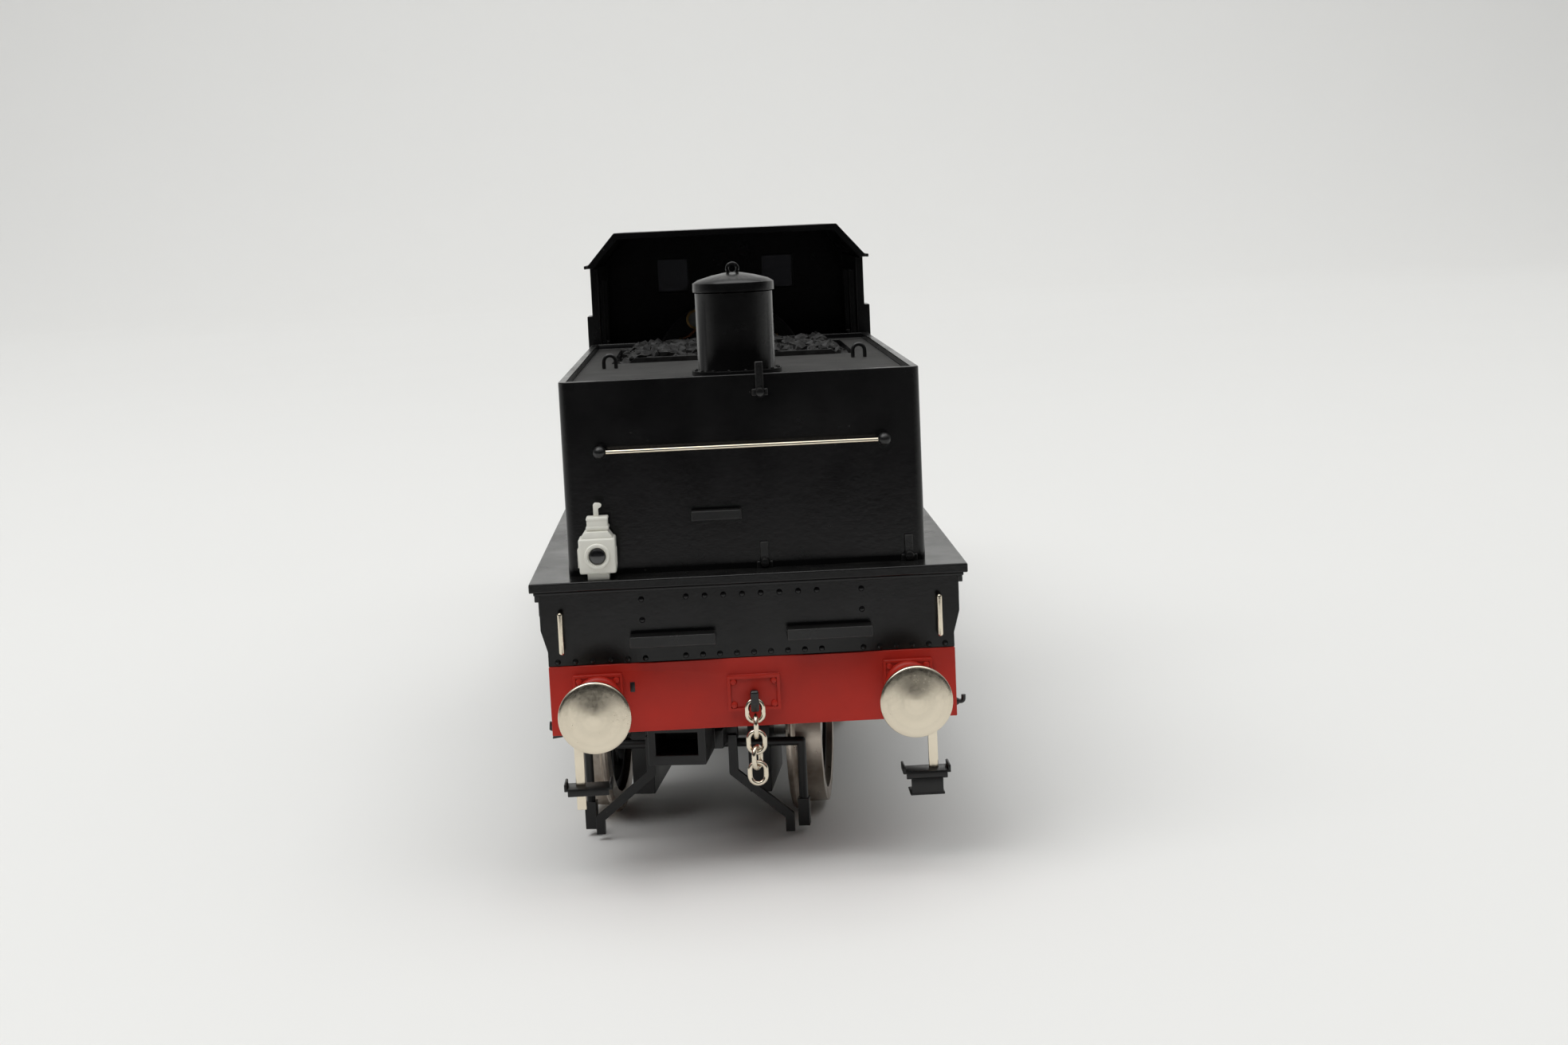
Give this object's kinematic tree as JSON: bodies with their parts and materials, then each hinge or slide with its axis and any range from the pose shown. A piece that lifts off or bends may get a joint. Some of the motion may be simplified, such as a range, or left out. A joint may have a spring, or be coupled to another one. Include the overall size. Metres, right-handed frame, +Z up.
{
  "type": "model steam locomotive",
  "caption": "Small scale model of a back-tank steam locomotive with coupled driving wheels, a swinging trailing truck, sprung buffers and a hanging coupling chain.",
  "frame": {"origin": "on the floor under the middle of the locomotive, at the level of the flanges' lowest points", "axes": "+Y along the track towards the chimney end, +Z up, X across the locomotive"},
  "size_m": [0.0322, 0.161, 0.0479],
  "materials": {
    "satin_black": "satin black paint over moulded plastic",
    "matt_black": "matt black",
    "signal_red": "satin red paint",
    "bright_nickel": "turned, nickel plated",
    "black_metal": "chemically blackened",
    "screw_steel": "turned steel",
    "wheel_black": "moulded satin black",
    "chassis_metal": "die-cast, painted black",
    "motor_steel": "drawn steel",
    "gear_nylon": "moulded nylon",
    "lamp_white": "satin white paint",
    "lens_black": "gloss black",
    "coal": "crushed coal, slight sparkle",
    "clear_glazing": "clear moulded",
    "brass": "turned brass"
  },
  "bodies": {
    "locomotive": {"backhead": "matt_black", "boiler": "satin_black", "buffer_beams": "signal_red", "buffer_housings": "signal_red", "cab_glazing": "clear_glazing", "cab_roof": "satin_black", "cab_shell": "satin_black", "chassis_block": "chassis_metal", "chimney": "matt_black", "coal_load": "coal", "dome": "satin_black", "drawhooks": "black_metal", "drop_plates": "satin_black", "firebox": "satin_black", "foot_ledges": "satin_black", "footplate": "satin_black", "footstep_boards": "satin_black", "footstep_hangers": "bright_nickel", "handrail_knobs": "bright_nickel", "handrails": "bright_nickel", "keeper_plate": "matt_black", "lamp_body": "lamp_white", "lamp_irons": "black_metal", "lamp_lens": "lens_black", "lifting_eyes": "black_metal", "motor_case": "motor_steel", "pivot_screw": "screw_steel", "rear_tank": "satin_black", "safety_valves": "brass", "smokebox": "matt_black", "tank_filler": "satin_black"},
    "filler_lid": {"filler_lid": "satin_black"},
    "smokebox_door": {"smokebox_door": "matt_black"},
    "rear_left_buffer": {"rear_left_buffer": "bright_nickel"},
    "rear_right_buffer": {"rear_right_buffer": "bright_nickel"},
    "front_left_buffer": {"front_left_buffer": "bright_nickel"},
    "front_right_buffer": {"front_right_buffer": "bright_nickel"},
    "motor_rotor": {"motor_shaft": "screw_steel"},
    "rear_wheelset": {"rear_axle": "screw_steel", "rear_wheel_centres": "wheel_black", "rear_tyres": "bright_nickel"},
    "middle_wheelset": {"middle_axle": "screw_steel", "middle_wheel_centres": "wheel_black", "middle_tyres": "bright_nickel", "axle_gear": "gear_nylon"},
    "front_wheelset": {"front_axle": "screw_steel", "front_wheel_centres": "wheel_black", "front_tyres": "bright_nickel"},
    "right_coupling_rod": {"right_coupling_rod": "bright_nickel"},
    "left_coupling_rod": {"left_coupling_rod": "bright_nickel"},
    "pony_truck": {"pony_frame": "matt_black", "guard_irons": "black_metal"},
    "pony_wheelset": {"pony_axle": "screw_steel", "pony_wheel_centres": "wheel_black", "pony_tyres": "bright_nickel"},
    "chain_link_1": {"chain_link_1": "bright_nickel"},
    "chain_link_2": {"chain_link_2": "bright_nickel"},
    "chain_link_3": {"chain_link_3": "bright_nickel"},
    "chain_link_4": {"chain_link_4": "bright_nickel"},
    "chain_link_5": {"chain_link_5": "bright_nickel"}
  },
  "joints": [
    {"name": "filler_lid_hinge", "type": "hinge", "parent": "locomotive", "child": "filler_lid", "pos_m": [0, -0.0592, 0.04347], "axis": [-1, 0, 0], "range_deg": [0, 100]},
    {"name": "smokebox_door_hinge", "type": "hinge", "parent": "locomotive", "child": "smokebox_door", "pos_m": [-0.0082, 0.06485, 0.03205], "axis": [0, 0, 1], "range_deg": [0, 110]},
    {"name": "rear_left_buffer_slide", "type": "slide", "parent": "locomotive", "child": "rear_left_buffer", "axis": [0, 1, 0], "range_m": [0, 0.0016], "stiffness_N_per_m": 200},
    {"name": "rear_right_buffer_slide", "type": "slide", "parent": "locomotive", "child": "rear_right_buffer", "axis": [0, 1, 0], "range_m": [0, 0.0016], "stiffness_N_per_m": 200},
    {"name": "front_left_buffer_slide", "type": "slide", "parent": "locomotive", "child": "front_left_buffer", "axis": [0, -1, 0], "range_m": [0, 0.0016], "stiffness_N_per_m": 200},
    {"name": "front_right_buffer_slide", "type": "slide", "parent": "locomotive", "child": "front_right_buffer", "axis": [0, -1, 0], "range_m": [0, 0.0016], "stiffness_N_per_m": 200},
    {"name": "middle_wheel_spin", "type": "hinge", "parent": "locomotive", "child": "middle_wheelset", "pos_m": [0, 0.0115, 0.0106], "axis": [1, 0, 0], "continuous": true},
    {"name": "rear_wheel_spin", "type": "hinge", "parent": "locomotive", "child": "rear_wheelset", "pos_m": [0, -0.0205, 0.0106], "axis": [1, 0, 0], "continuous": true},
    {"name": "front_wheel_spin", "type": "hinge", "parent": "locomotive", "child": "front_wheelset", "pos_m": [0, 0.0435, 0.0106], "axis": [1, 0, 0], "continuous": true},
    {"name": "right_rod_pin", "type": "hinge", "parent": "middle_wheelset", "child": "right_coupling_rod", "pos_m": [0.0108, 0.0115, 0.0064], "axis": [1, 0, 0], "continuous": true},
    {"name": "left_rod_pin", "type": "hinge", "parent": "middle_wheelset", "child": "left_coupling_rod", "pos_m": [-0.0108, 0.0157, 0.0106], "axis": [1, 0, 0], "continuous": true},
    {"name": "motor_spin", "type": "hinge", "parent": "locomotive", "child": "motor_rotor", "pos_m": [0, 0.0115, 0.0155], "axis": [0, 1, 0], "continuous": true},
    {"name": "pony_truck_swing", "type": "hinge", "parent": "locomotive", "child": "pony_truck", "pos_m": [0, -0.0255, 0.0077], "axis": [0, 0, 1], "range_deg": [-2.5, 17.5]},
    {"name": "pony_wheel_spin", "type": "hinge", "parent": "pony_truck", "child": "pony_wheelset", "pos_m": [-0.00379, -0.05425, 0.0071], "axis": [0.9914, -0.1305, 0], "continuous": true},
    {"name": "chain_link_1_swing", "type": "hinge", "parent": "locomotive", "child": "chain_link_1", "pos_m": [0, -0.0756, 0.01362], "axis": [1, 0, 0], "range_deg": [-30, 8]},
    {"name": "chain_link_2_swing", "type": "hinge", "parent": "chain_link_1", "child": "chain_link_2", "pos_m": [0, -0.0756, 0.01203], "axis": [1, 0, 0], "range_deg": [-25, 5]},
    {"name": "chain_link_3_swing", "type": "hinge", "parent": "chain_link_2", "child": "chain_link_3", "pos_m": [0, -0.0756, 0.01086], "axis": [0, 1, 0], "range_deg": [-25, 25]},
    {"name": "chain_link_4_swing", "type": "hinge", "parent": "chain_link_3", "child": "chain_link_4", "pos_m": [0, -0.0756, 0.00969], "axis": [1, 0, 0], "range_deg": [-25, 5]},
    {"name": "chain_link_5_swing", "type": "hinge", "parent": "chain_link_4", "child": "chain_link_5", "pos_m": [0, -0.0756, 0.00852], "axis": [0.4226, 0.9063, 0], "range_deg": [-25, 25]}
  ],
  "couplings": [
    {"joint": "rear_wheel_spin", "follows": "middle_wheel_spin", "ratio": 1},
    {"joint": "front_wheel_spin", "follows": "middle_wheel_spin", "ratio": 1},
    {"joint": "right_rod_pin", "follows": "middle_wheel_spin", "ratio": -1},
    {"joint": "left_rod_pin", "follows": "middle_wheel_spin", "ratio": -1},
    {"joint": "motor_spin", "follows": "middle_wheel_spin", "ratio": 20}
  ]
}
